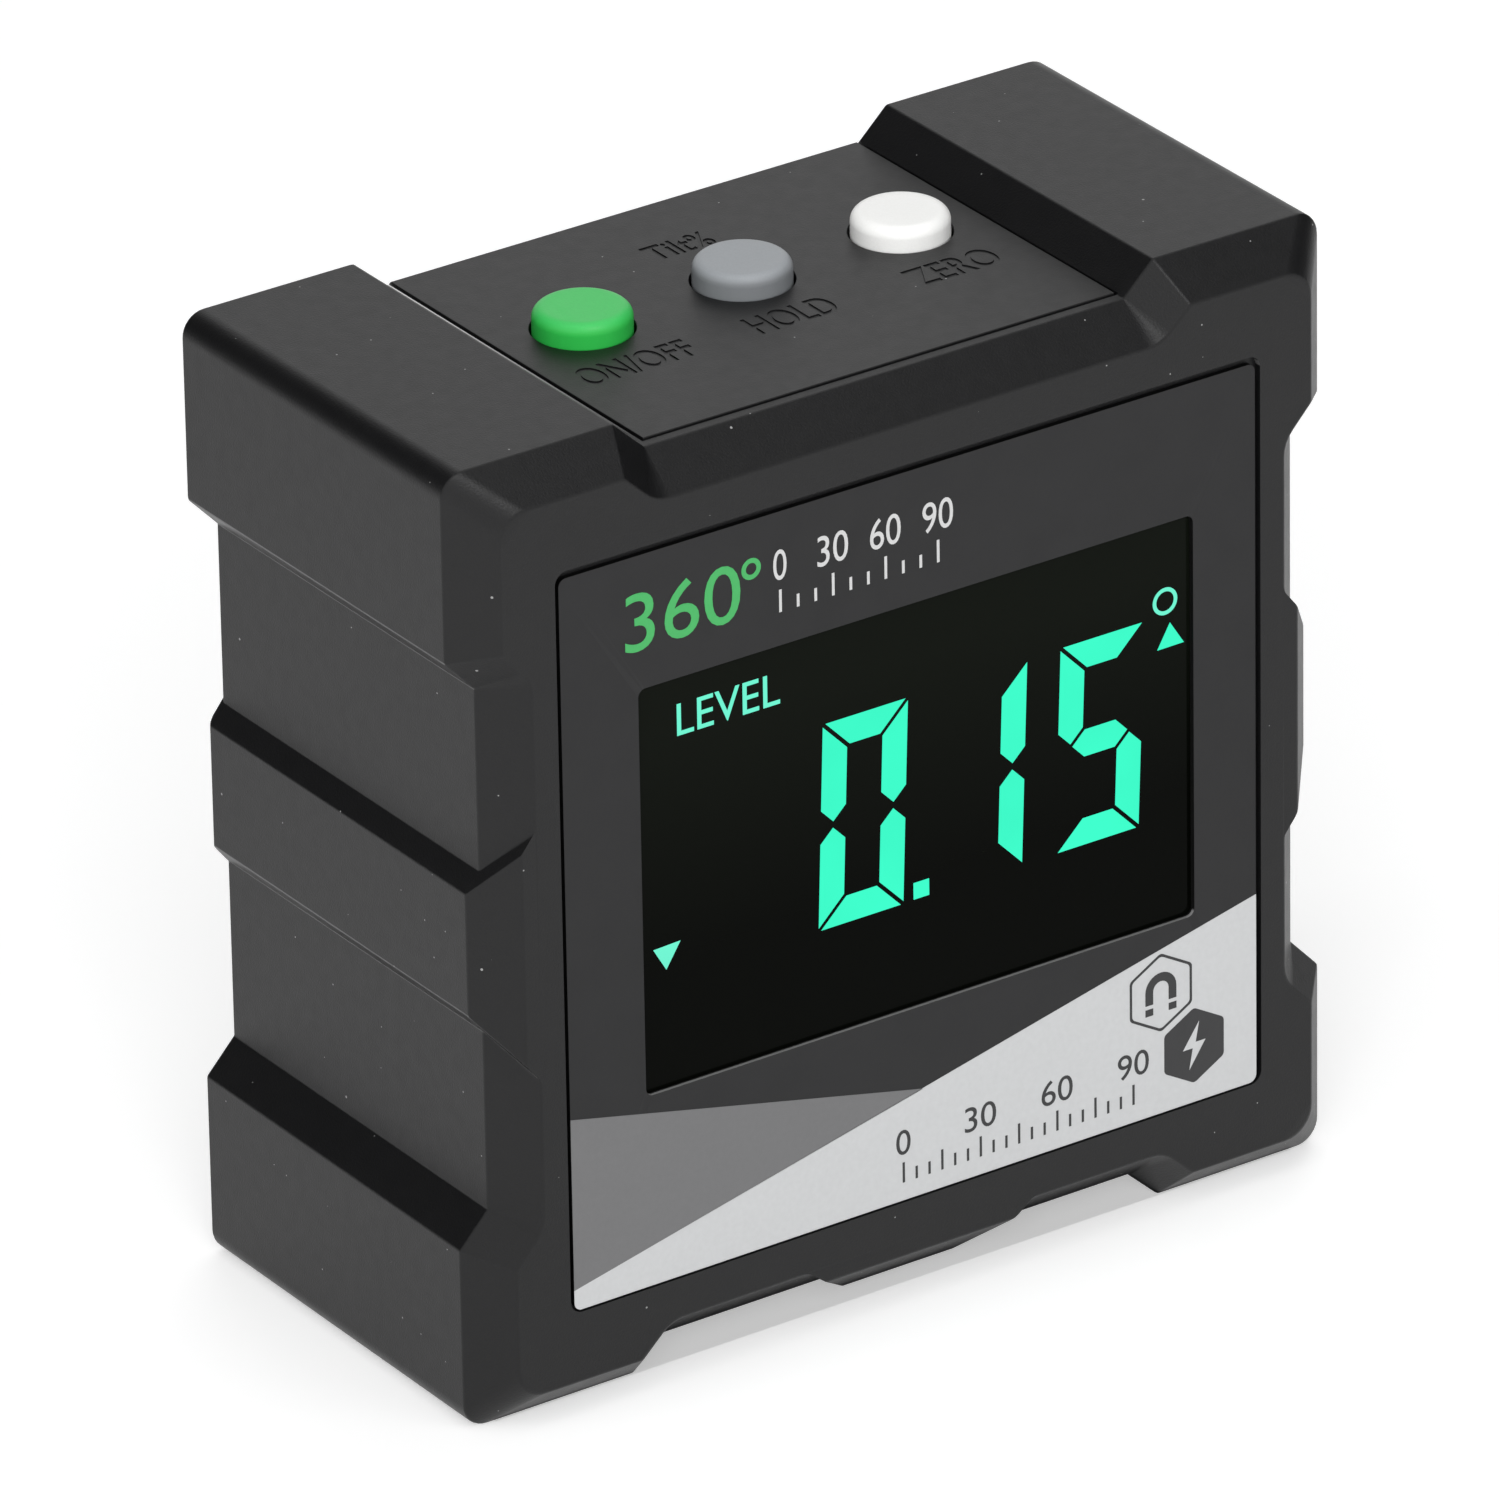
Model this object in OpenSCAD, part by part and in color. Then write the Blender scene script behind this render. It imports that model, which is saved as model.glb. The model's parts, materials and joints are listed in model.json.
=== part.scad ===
// Digital angle gauge: a square case that stands on any of its four magnetic sides.
// X runs along the face, Y from the face to the back, Z up. The origin is the middle of the base.

/* [Body] */
// Width across the two upright sides
body_w = 60; // [54:0.5:72]
// Height from the base to the top of the corner blocks
body_h = 60; // [56:0.5:72]
// Depth from the face to the back
body_d = 29; // [27:0.5:40]
// Radius of the four long edges
corner_r = 1.5; // [0.8:0.1:2.4]
// Radius of the corners of the flat face, in front of the bevel
face_corner_r = 1.9; // [1:0.1:4]
// How far the front bevel cuts in from each side
bevel_in = 2.2; // [1:0.1:2.8]
// How far the front bevel reaches back from the face
bevel_deep = 2.45; // [1:0.05:3]
// Width of the small bevel round the back edge
back_bevel = 0.2; // [0.1:0.05:0.7]
// Radius that softens the edges of both bevels
soft_r = 0.3; // [0.1:0.05:0.5]

/* [Sides] */
// Length of each corner block along a side
block_len = 11.55; // [10:0.05:13]
// Length of the slope from a corner block down to the sunk side
ramp_len = 2.05; // [1:0.05:3]
// Depth of the sunk sides below the corner blocks
sunk = 1.93; // [1.4:0.01:2.4]
// Length of the pad in the middle of a side
pad_len = 7.7; // [4:0.1:12]
// Length of the slope at each end of a pad
pad_ramp = 1.2; // [0.9:0.1:2]
// Depth of the pads below the corner blocks
pad_drop = 0.98; // [0.5:0.02:1.3]
// Radius in the foot of a slope, behind the front bevel
foot_r = 0.15; // [0.05:0.05:0.5]
// Radius in the foot of a pad's slope, at the face
pad_face_r = 1.0; // [0.2:0.1:1.4]
// Radius at the upper break of a slope
break_r = 0.3; // [0.1:0.05:0.6]

/* [Walls] */
// Side walls, from the sunk sides to the inside
side_wall = 2.87; // [2.4:0.01:3.6]
// Width of the ledge that the back seal lies on
ledge = 1.5; // [1:0.1:1.8]
// Lip of the front wall that holds the display pane
lip = 1.4; // [1:0.1:2]
// Floor under the button flanges
top_web = 1.4; // [1:0.1:2]

/* [Face plate] */
// Distance from the upright sides of the body to the printed plate
label_side = 6.125; // [5:0.025:8]
// Distance from the base and the top of the body to the printed plate, in the middle of its pocket
label_end = 6.95; // [6:0.05:9]
// Thickness of the printed plate
label_t = 0.35; // [0.2:0.05:0.8]
// Radius of the printed plate's corners
label_r = 0.5; // [0.3:0.1:2]
// Gap between the printed plate and its pocket
label_gap = 0.3; // [0.1:0.05:0.6]
// How far the printed plate lies below the middle of its pocket
label_drop = 0.2; // [0:0.05:0.3]
// How far the printed plate lies below the face
label_sink = 0.1; // [0:0.05:0.4]

/* [Display] */
// Strip of the printed plate to the left of the display's cut-out
strip_left = 5.175; // [4:0.025:8]
// Strip to the right of the cut-out
strip_right = 4.375; // [4:0.025:8]
// Strip over the cut-out
strip_over = 8.325; // [8:0.025:12]
// Strip under the cut-out
strip_under = 12.125; // [9:0.025:15]
// Radius of the cut-out's corners
window_r = 0.5; // [0.3:0.1:2]
// Thickness of the display pane
pane_t = 1.2; // [0.8:0.1:1.6]
// Part of the pane that lies behind the printed plate, on each side
pane_edge = 1.6; // [1:0.1:2]
// Gap between the pane and its seat
pane_gap = 0.15; // [0.05:0.05:0.3]
// Space that the lip leaves round the cut-out
view_margin = 0.4; // [0.1:0.1:0.8]
// Display glass that lies behind the lip, on each side
glass_edge = 2.4; // [1.5:0.1:2.6]
// Thickness of each of the two sheets of display glass
glass_t = 1.1; // [0.7:0.1:1.4]
// Thickness of the light guide
guide_t = 2.0; // [1:0.1:3]
// Height of the strip that connects the display glass to the board
strip_h = 2.4; // [1.5:0.1:3]
// Gap between the strip and the light guide
strip_gap = 0.3; // [0.1:0.1:0.6]
// Width of a light
led_w = 3.0; // [2:0.1:4]
// Height of a light
led_h = 1.2; // [0.8:0.1:1.6]
// Thickness of a light
led_t = 1.4; // [0.8:0.1:1.8]
// Distance between the two lights
led_pitch = 20; // [10:1:26]

/* [Top panel and buttons] */
// Distance from the foot of a corner block's slope to the top panel, with the panel centred
panel_side = 0.25; // [0.2:0.05:1.2]
// How far the top panel lies to the right of the middle
panel_x = 0.2; // [-0.2:0.05:0.2]
// How far the top panel stands above the sunk top
panel_rise = 0.1; // [0:0.05:0.3]
// Thickness of the top panel
panel_t = 1.6; // [1.2:0.1:2]
// Strip of the housing between the face and the top panel
panel_front = 3.23; // [3:0.01:5]
// Gap round the top panel
panel_gap = 0.15; // [0.05:0.01:0.3]
// Diameter of a button
button_d = 5.8; // [5:0.1:6.4]
// Height of a button above the top panel
button_h = 1.4; // [0.8:0.1:1.8]
// Radius of a button's upper rim
button_rim = 0.7; // [0.1:0.05:0.75]
// Distance from the sides of the top panel to the outer buttons' middles, with the middle button centred
button_side = 5.2; // [4.6:0.05:6]
// How far the middle button lies to the right of the middle
button_x = 0.4; // [-0.8:0.1:0.8]
// Distance from the back to the buttons' middles
button_back = 11.75; // [10.5:0.05:13.5]
// Gap round a button in the top panel
button_gap = 0.15; // [0.1:0.05:0.4]
// Width of the flange that holds a button under the top panel
flange_w = 0.9; // [0.6:0.1:1.2]
// Thickness of that flange
flange_t = 0.8; // [0.5:0.1:1.2]
// How far a button goes down when pressed
travel = 0.5; // [0.2:0.05:0.8]
// Room left under a pressed flange
flange_room = 0.2; // [0.1:0.05:0.4]
// Diameter of a button's stem
stem_d = 3.0; // [2:0.1:3.6]
// Gap round a stem and round a flange
stem_gap = 0.3; // [0.2:0.05:0.5]
// How far a stem sticks out below the top wall
stem_out = 0.4; // [0.2:0.1:1]

/* [Switches and keypad board] */
// Side of a switch's square case
switch_w = 6.0; // [5:0.1:6.4]
// Height of a switch's case
switch_h = 3.2; // [2.6:0.1:4]
// Diameter of a switch's plunger
plunger_d = 3.4; // [2.4:0.1:3.8]
// Height of the plunger above the switch's case
plunger_rise = 0.9; // [0.85:0.05:1.4]
// Length of the plunger inside the case
plunger_in = 0.9; // [0.6:0.1:1.2]
// Gap round the plunger
plunger_gap = 0.2; // [0.1:0.05:0.4]
// Thickness of the keypad board
keypad_t = 1.2; // [0.8:0.1:1.6]
// Keypad board past the outer switches, on each side
keypad_edge = 2.2; // [1:0.1:2.6]
// Space between the keypad board and what stands before and behind it
keypad_room = 0.4; // [0.2:0.1:0.6]
// Diameter of the posts that carry the keypad board
keypad_post_d = 4.2; // [3.6:0.1:4.6]
// Space between those posts and the pieces beside them
post_room = 0.3; // [0.2:0.05:0.6]
// Pins in the header between the boards
header_pins = 6; // [3:1:8]
// Distance between those pins
header_pitch = 2.0; // [1.5:0.1:2.54]
// Side of the header's body
header_side = 2.2; // [1.8:0.1:2.6]
// Diameter of a pin
pin_d = 0.6; // [0.4:0.05:0.7]
// How far a pin shows above the keypad board
pin_out = 0.6; // [0.3:0.1:1]

/* [Main board] */
// Thickness of the main board
board_t = 1.6; // [1:0.1:2]
// Space between the main board and the walls
board_room = 0.8; // [0.5:0.1:1.2]
// Distance of the board's screws from its edges
board_inset = 3.0; // [2.6:0.1:3.4]
// Diameter of the posts that carry the main board
board_post_d = 4.4; // [4:0.1:4.8]
// Side of the controller's square case
chip_w = 7; // [5:0.5:10]
// Side of the tilt sensor's square case
sensor_w = 4; // [3:0.5:5]
// Height of both cases
chip_t = 1.2; // [0.8:0.1:1.4]
// Height of the controller above the tilt sensor
chip_rise = 12; // [9:0.5:14]

/* [Battery and charging] */
// Width of the battery cell
cell_w = 34; // [28:0.5:38]
// Height of the battery cell
cell_h = 26; // [20:0.5:28]
// Thickness of the battery cell
cell_t = 7; // [4:0.5:9]
// Radius of the cell's folded long edges
cell_r = 2.5; // [1:0.1:3.4]
// How far the middle of the cell lies below the middle of the inside
cell_drop = 2.2; // [0:0.1:4]
// Thickness of the foam tape under the cell
tape_t = 1.8; // [1.6:0.1:2.6]
// Width of each strip of tape
tape_w = 4; // [3:0.5:6]
// Width of a battery tab
tab_w = 3; // [2:0.5:4]
// Thickness of a battery tab
tab_t = 0.2; // [0.15:0.05:0.4]
// Length of a tab above the cell
tab_up = 2.6; // [2:0.1:3]
// Distance between the two tabs
tab_pitch = 12; // [8:0.5:18]
// Width of the charging socket
socket_w = 8.94; // [7:0.01:9.6]
// Height of the charging socket
socket_h = 3.16; // [2.6:0.01:3.6]
// Length of the charging socket
socket_len = 7.3; // [6:0.1:8]
// Wall of the socket's shell
socket_wall = 0.3; // [0.2:0.05:0.5]
// Thickness of the socket's closed inner end
socket_end = 1.1; // [0.6:0.1:1.6]
// How far the socket reaches into the back cover
socket_in = 0.6; // [0.3:0.1:0.9]
// Thickness of the tongue inside the socket
tongue_t = 0.7; // [0.5:0.05:0.9]
// Room round the socket in the back cover
port_room = 0.6; // [0.3:0.1:1]
// Width of the plug's flange round the port
plug_edge = 1.3; // [0.8:0.1:2]
// Thickness of the plug's flange
plug_t = 0.8; // [0.5:0.1:1.2]
// Gap round the plug
plug_gap = 0.1; // [0.05:0.05:0.2]

/* [Magnets] */
// Diameter of a magnet
magnet_d = 6; // [4:0.5:6.2]
// Thickness of a magnet
magnet_t = 3; // [1.5:0.1:3.2]
// Distance of a magnet's middle from the corner of the body
magnet_in = 8.0; // [7.8:0.1:8.4]
// Plastic between a magnet and the outside
magnet_skin = 1.4; // [0.8:0.1:1.6]
// Gap round a magnet
magnet_gap = 0.1; // [0.05:0.05:0.2]

/* [Back cover] */
// Thickness of the back cover
cover_t = 2.4; // [2:0.1:3]
// Radius of the back cover's corners
cover_r = 2.0; // [1:0.1:3]
// Gap round the back cover
cover_gap = 0.2; // [0.1:0.05:0.3]
// How far the back cover lies below the back edge
cover_sink = 0.1; // [0:0.05:0.4]
// Thickness of the back seal
seal_t = 0.8; // [0.5:0.1:1.2]
// Gap on each side of the seal
seal_gap = 0.2; // [0.1:0.05:0.3]
// Side of the square posts that take the cover's screws
boss_w = 7.0; // [6:0.1:7.4]
// Length of those posts
boss_len = 6.5; // [5.5:0.1:7]
// Thickness and depth of the ribs inside the back cover
rib = 1.2; // [0.8:0.1:1.6]

/* [Screws] */
// Thread diameter of the cover's screws
cover_screw_d = 2.5; // [2:0.1:3]
// Length of the cover's screws
cover_screw_len = 7.0; // [6:0.1:7.4]
// Head diameter of the cover's screws
cover_head_d = 4.6; // [4:0.1:5]
// Thread diameter of the board screws
board_screw_d = 2.0; // [1.6:0.1:2.2]
// Length of the board screws below the head
board_screw_len = 4.4; // [3.6:0.1:4.8]
// Head diameter of the board screws
board_head_d = 3.8; // [3.4:0.1:4]
// Head height of the board screws
board_head_h = 1.4; // [1:0.1:1.6]
// Length of the cross in a screw head, as a share of the head's diameter
cross_len = 0.6; // [0.4:0.05:0.7]
// Width of the cross, as a share of the head's diameter
cross_w = 0.14; // [0.1:0.01:0.2]
// Depth of the cross, as a share of the head's height
cross_deep = 0.65; // [0.4:0.05:0.7]
// Gap between a thread and its hole
screw_gap = 0.1; // [0.05:0.05:0.15]
// Gap between a screw and the piece that it clamps
through_gap = 0.2; // [0.15:0.05:0.3]
// Depth left below the tip of a screw
tip_room = 0.4; // [0.2:0.1:0.6]

/* [Hidden] */
$fn = 48;
corner_steps = 8;
foot_steps = 4;
break_steps = 2;
soft_steps = 2;
// Overshoot of a cut past the face that it opens
over = 1;

// Planes of the depth, from the face to the back
y_face = -body_d / 2;
y_back = body_d / 2;
y_label = y_face + label_sink;
y_pocket = y_label + label_t;
y_pane_back = y_pocket + pane_t;
y_wall = y_pane_back + lip;
y_glass_back = y_wall + 2 * glass_t;
y_board = y_glass_back + guide_t;
y_board_back = y_board + board_t;
y_cell = y_board_back + tape_t;
y_cover_back = y_back - cover_sink;
y_cover = y_cover_back - cover_t;
y_ledge = y_cover - seal_t;

// Planes of the height, from the base to the top
z_mid = body_h / 2;
z_floor = sunk + side_wall;
z_panel = body_h - sunk + panel_rise;
z_panel_under = z_panel - panel_t;
z_flange_floor = z_panel_under - flange_t - travel - flange_room;
z_ceiling = z_flange_floor - top_web;
z_stem = z_ceiling - stem_out;
z_switch = z_stem - plunger_rise;
z_keypad = z_switch - switch_h;
z_keypad_under = z_keypad - keypad_t;

// Inside space, and the seat of the back cover round it
cavity_w = body_w - 2 * (sunk + side_wall);
cavity_h = z_ceiling - z_floor;
cavity_z = (z_ceiling + z_floor) / 2;
seat_w = cavity_w + 2 * ledge;
seat_h = cavity_h + 2 * ledge;
seat_r = cover_r + cover_gap;
cover_w = seat_w - 2 * cover_gap;
cover_h = seat_h - 2 * cover_gap;

// Printed plate, its cut-out, the pane and the display glass
label_w = body_w - 2 * label_side;
label_h = body_h - 2 * label_end;
label_z = z_mid - label_drop;
window_w = label_w - strip_left - strip_right;
window_h = label_h - strip_over - strip_under;
window_x = (strip_left - strip_right) / 2;
window_z = label_z + (strip_under - strip_over) / 2;
pane_w = window_w + 2 * pane_edge;
pane_h = window_h + 2 * pane_edge;
view_w = window_w + 2 * view_margin;
view_h = window_h + 2 * view_margin;
glass_w = window_w + 2 * glass_edge;
glass_h = window_h + 2 * glass_edge;
glass_low = window_z - glass_h / 2;
guide_h = glass_h - strip_h - strip_gap;
guide_z = glass_low + glass_h - guide_h / 2;

// Top panel and the places of its buttons
panel_w = body_w - 2 * (block_len + ramp_len + panel_side);
button_pitch = panel_w / 2 - button_side;
button_y = y_back - button_back;

// Boards, their posts and the cell
board_w = cavity_w - 2 * board_room;
board_h = cavity_h - 2 * board_room;
board_post_x = board_w / 2 - board_inset;
board_post_z = board_h / 2 - board_inset;
y_keypad = y_board_back + keypad_room;
y_keypad_back = y_cover - keypad_room;
keypad_w = 2 * (button_pitch + keypad_edge) + switch_w;
keypad_post_x = (socket_w + board_head_d) / 2 + post_room;
y_keypad_post = button_y + (switch_w + keypad_post_d) / 2 + post_room;
header_len = (header_pins + 0.5) * header_pitch;
y_header = y_board_back + header_side / 2;
header_low = z_keypad_under - header_side;
cell_z = cavity_z - cell_drop;

// Flange, charging port and cover screws
flange_d = button_d + 2 * flange_w;
y_socket_end = y_cover + socket_in;
port_w = socket_w + 2 * port_room;
port_h = socket_h + 2 * port_room;
port_z = z_keypad_under - socket_h / 2;
cover_post_x = cavity_w / 2 - boss_w / 2;
cover_post_z = cavity_h / 2 - boss_w / 2;
cover_head_h = (cover_head_d - cover_screw_d) / 2;

// Corners of one side, as [place along the side, height over the block plane, kind].
// Kinds are the long edges of the body, the upper breaks of the slopes, and the feet of blocks and pads.
EDGE = 0;
BREAK = 1;
FOOT = 2;
PAD_FOOT = 3;
// The slopes of a pad run straight through the bevels, so its corners spread as the outline is drawn in
function half_pad(inset) =
  let (
    rise = sunk - pad_drop,
    spread = inset * norm([pad_ramp, rise]) / rise
  )
  [
    [pad_len / 2 + pad_ramp + spread, -sunk, PAD_FOOT],
    [pad_len / 2 + spread, -pad_drop, BREAK]
  ];
function half_block(half) = [
  [half - block_len - ramp_len, -sunk, FOOT],
  [half - block_len, 0, BREAK]
];
function mirrored(run) = [for (i = [len(run) - 1:-1:0]) [-run[i][0], run[i][1], run[i][2]]];
function reversed(run) = [for (i = [len(run) - 1:-1:0]) run[i]];
function side_run(half, pad) = concat(
  [[-half, 0, EDGE]],
  mirrored(half_block(half)),
  mirrored(reversed(pad)),
  reversed(pad),
  half_block(half)
);

// The same corners set on a side that runs along and faces out, as [x, z, kind]
function placed(run, along, out, reach) = [
  for (p = run) concat([0, z_mid] + p[0] * along + (reach + p[1]) * out, [p[2]])
];
function outline(inset) = concat(
  placed(side_run(body_w / 2, half_pad(inset)), [1, 0], [0, -1], body_h / 2),
  placed(side_run(body_h / 2, half_pad(inset)), [0, 1], [1, 0], body_w / 2),
  placed(side_run(body_w / 2, []), [-1, 0], [0, 1], body_h / 2),
  placed(side_run(body_h / 2, half_pad(inset)), [0, -1], [-1, 0], body_w / 2)
);

// Normal on the left of the run from a to b, which is inward on the outline
function left_of(a, b) = [a[1] - b[1], b[0] - a[0]] / norm([b[0] - a[0], b[1] - a[1]]);

// Arc in place of the corner at here, which is first drawn to the left by inset
function arc_at(before, here, after, inset, radius, steps) =
  let (
    from = left_of(before, here),
    to = left_of(here, after),
    mitre = (from + to) / (1 + from * to),
    start = atan2(from[1], from[0]),
    turn = atan2(from[0] * to[1] - from[1] * to[0], from * to),
    side = sign(turn),
    centre = [here[0], here[1]] + (inset + side * radius) * mitre
  )
  [
    for (k = [0:steps])
      let (angle = start + turn * k / steps)
      centre - side * radius * [cos(angle), sin(angle)]
  ];

function pad_foot_radius(inset) = foot_r + (pad_face_r - foot_r) * inset / bevel_in;

// The whole outline, drawn in by inset, with each kind of corner at its own radius
function ring(inset, edge_radius) =
  let (
    corners = outline(inset),
    count = len(corners)
  )
  [
    for (i = [0:count - 1])
      let (
        kind = corners[i][2],
        radius = [edge_radius, break_r, foot_r + inset, pad_foot_radius(inset)][kind],
        steps = [corner_steps, break_steps, foot_steps, foot_steps][kind]
      )
      each arc_at(corners[(i + count - 1) % count], corners[i], corners[(i + 1) % count], inset, radius, steps)
  ];

// Section through the edge of the case, from the face to the back, as [inset, y] with soft corners
far = body_w / 4;
section = [
  [far, y_face],
  [bevel_in, y_face],
  [0, y_face + bevel_deep],
  [0, y_back - back_bevel],
  [back_bevel, y_back],
  [far, y_back]
];
function soft_section(i, radius, steps) =
  arc_at(section[i - 1], section[i], section[i + 1], 0, radius, steps);
back_soft_r = min(soft_r, back_bevel);
function front_radius(inset) = corner_r + (face_corner_r - corner_r) * inset / bevel_in;
function back_radius(inset) = max(corner_r - inset, back_soft_r);

// Outer form: the outline carried along that section
module outer_form() {
  front_rings = [
    for (p = concat(soft_section(1, soft_r, soft_steps), soft_section(2, soft_r, soft_steps)))
      [p[1], ring(p[0], front_radius(p[0]))]
  ];
  back_rings = [
    for (p = concat(soft_section(3, back_soft_r, 1), soft_section(4, back_soft_r, 1)))
      [p[1], ring(p[0], back_radius(p[0]))]
  ];
  rings = concat(front_rings, back_rings);
  count = len(rings[0][1]);
  last = len(rings) - 1;
  points = concat(
    [for (r = rings) for (p = r[1]) [p[0], r[0], p[1]]],
    [[0, y_face, z_mid], [0, y_back, z_mid]]
  );
  face_middle = len(points) - 2;
  back_middle = len(points) - 1;
  walls = [
    for (r = [0:last - 1]) for (j = [0:count - 1])
      let (next = (j + 1) % count)
      [r * count + j, r * count + next, (r + 1) * count + next, (r + 1) * count + j]
  ];
  face = [for (j = [0:count - 1]) [face_middle, (j + 1) % count, j]];
  back = [for (j = [0:count - 1]) [back_middle, last * count + j, last * count + (j + 1) % count]];
  polyhedron(points, concat(walls, face, back), convexity = 8);
}

// Rectangle with round corners, about the origin
module rounded(w, h, r) {
  square([w - 2 * r, h], center = true);
  square([w, h - 2 * r], center = true);
  for (x = [-1, 1], y = [-1, 1])
    translate([x * (w / 2 - r), y * (h / 2 - r)]) circle(r);
}

// Slot with round ends, about the origin
module slot(w, h) {
  square([w - h, h], center = true);
  for (x = [-1, 1]) translate([x * (w - h) / 2, 0]) circle(h / 2);
}

// Shapes drawn in X and Z and carried from y0 to y1
module along_y(y0, y1) translate([0, y1, 0]) rotate([90, 0, 0]) linear_extrude(y1 - y0) children();
module slab(w, h, r, y0, y1, x = 0, z = 0)
  along_y(y0, y1) translate([x, z]) rounded(w, h, r);
module slot_slab(w, h, y0, y1, x, z)
  along_y(y0, y1) translate([x, z]) slot(w, h);
module plate(w, h, y0, y1, x = 0, z = 0)
  translate([x - w / 2, y0, z - h / 2]) cube([w, y1 - y0, h]);
module rod_y(d, y0, y1, x, z)
  translate([x, y1, z]) rotate([90, 0, 0]) cylinder(d = d, h = y1 - y0);
module rod_z(d, z0, z1, x, y)
  translate([x, y, z0]) cylinder(d = d, h = z1 - z0);

// Places that repeat
module at_buttons() for (i = [-1:1]) translate([button_x + i * button_pitch, button_y, 0]) children();
module at_keypad_posts()
  for (s = [-1, 1]) translate([button_x + s * keypad_post_x, y_keypad_post, 0]) children();
module at_board_posts()
  for (x = [-1, 1], z = [-1, 1]) translate([x * board_post_x, 0, cavity_z + z * board_post_z]) children();
module at_cover_posts()
  for (x = [-1, 1], z = [-1, 1]) translate([x * cover_post_x, 0, cavity_z + z * cover_post_z]) children();
module at_pins()
  for (i = [0:header_pins - 1])
    translate([button_x + (i - (header_pins - 1) / 2) * header_pitch, y_header, 0]) children();

// A magnet's seat: a round space from the outer skin to the inside, along the side's own outward axis
module magnet_pair(half, reach, from, gap)
  for (s = [-1, 1])
    translate([s * (half - magnet_in), 0, from])
      cylinder(d = magnet_d + 2 * gap, h = reach - magnet_skin - from);
module on_base() translate([0, 0, z_mid]) rotate([180, 0, 0]) children();
module on_top() translate([0, 0, z_mid]) children();
module on_left() translate([0, 0, z_mid]) rotate([0, -90, 0]) children();
module on_right() translate([0, 0, z_mid]) rotate([0, 90, 0]) children();
module magnets(half, reach) magnet_pair(half, reach, reach - magnet_skin - magnet_t, 0);
module magnet_seats() {
  on_base() magnet_pair(body_w / 2, body_h / 2, z_mid - z_floor - over, magnet_gap);
  on_top() magnet_pair(body_w / 2, body_h / 2, z_ceiling - z_mid - over, magnet_gap);
  on_left() magnet_pair(body_h / 2, body_w / 2, cavity_w / 2 - over, magnet_gap);
  on_right() magnet_pair(body_h / 2, body_w / 2, cavity_w / 2 - over, magnet_gap);
}

// Inside of the housing, with a well behind each upper corner block for its magnets
module cavity() {
  well_top = body_h - sunk - side_wall;
  well_w = block_len - sunk - side_wall;
  well_y = magnet_d / 2 + magnet_gap;
  plate(cavity_w, cavity_h, y_wall, y_back + over, 0, cavity_z);
  for (x = [-1, 1])
    plate(well_w, well_top - cavity_z, -well_y, well_y,
      x * (cavity_w - well_w) / 2, (well_top + cavity_z) / 2);
}

module housing_posts() {
  at_board_posts() rod_y(board_post_d, y_wall - lip / 2, y_board, 0, 0);
  at_keypad_posts() rod_z(keypad_post_d, z_keypad, z_ceiling + top_web / 2, 0, 0);
  for (x = [-1, 1], z = [-1, 1])
    plate(boss_w + ledge, boss_w + ledge, y_cover - boss_len, y_cover,
      x * (cover_post_x + ledge / 2), cavity_z + z * (cover_post_z + ledge / 2));
}

module screw_holes() {
  at_board_posts()
    rod_y(board_screw_d + 2 * screw_gap, y_board_back - board_screw_len - tip_room, y_board + over, 0, 0);
  at_keypad_posts()
    rod_z(board_screw_d + 2 * screw_gap, z_keypad - over, z_keypad_under + board_screw_len + tip_room, 0, 0);
  at_cover_posts()
    rod_y(cover_screw_d + 2 * screw_gap, y_cover_back - cover_screw_len - tip_room, y_cover + over, 0, 0);
}

// Face: pocket for the printed plate, step for the pane, opening behind the pane
module face_cuts() {
  slab(label_w + 2 * label_gap, label_h + 2 * label_gap, label_r + label_gap,
    y_face - over, y_pocket, 0, z_mid);
  slab(pane_w + 2 * pane_gap, pane_h + 2 * pane_gap, window_r + pane_gap,
    y_pocket - over / 2, y_pane_back, window_x, window_z);
  slab(view_w, view_h, window_r, y_pane_back - over / 2, y_wall + over, window_x, window_z);
}

// Top: pocket for the panel, seats for the button flanges, holes for the stems
module top_cuts() {
  pocket_w = panel_w + 2 * panel_gap;
  y_pocket_front = y_face + panel_front - panel_gap;
  translate([panel_x - pocket_w / 2, y_pocket_front, z_panel_under])
    cube([pocket_w, y_back + over - y_pocket_front, body_h]);
  at_buttons() rod_z(flange_d + 2 * stem_gap, z_flange_floor, z_panel_under + over, 0, 0);
  at_buttons() rod_z(stem_d + 2 * stem_gap, z_ceiling - over, z_flange_floor + over, 0, 0);
}

module seat_cut() slab(seat_w, seat_h, seat_r, y_cover, y_back + over, 0, cavity_z);
module seal_cut()
  difference() {
    slab(seat_w, seat_h, seat_r, y_ledge, y_cover + over / 2, 0, cavity_z);
    for (x = [-1, 1], z = [-1, 1])
      plate(boss_w, boss_w, y_ledge - over, y_cover, x * cover_post_x, cavity_z + z * cover_post_z);
  }

// Moulded case with everything that carries the other pieces
module housing()
  color([0.16, 0.16, 0.17])
    difference() {
      union() {
        difference() {
          outer_form();
          cavity();
        }
        housing_posts();
      }
      magnet_seats();
      face_cuts();
      top_cuts();
      seat_cut();
      seal_cut();
      screw_holes();
    }

// Countersunk hole for a cover screw
module cover_screw_hole() {
  rod_y(cover_screw_d + 2 * through_gap, y_cover - rib - over, y_back + over, 0, 0);
  translate([0, y_cover_back, 0]) rotate([90, 0, 0])
    cylinder(d1 = cover_head_d + 2 * through_gap, d2 = cover_screw_d + 2 * through_gap, h = cover_head_h);
}

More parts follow.
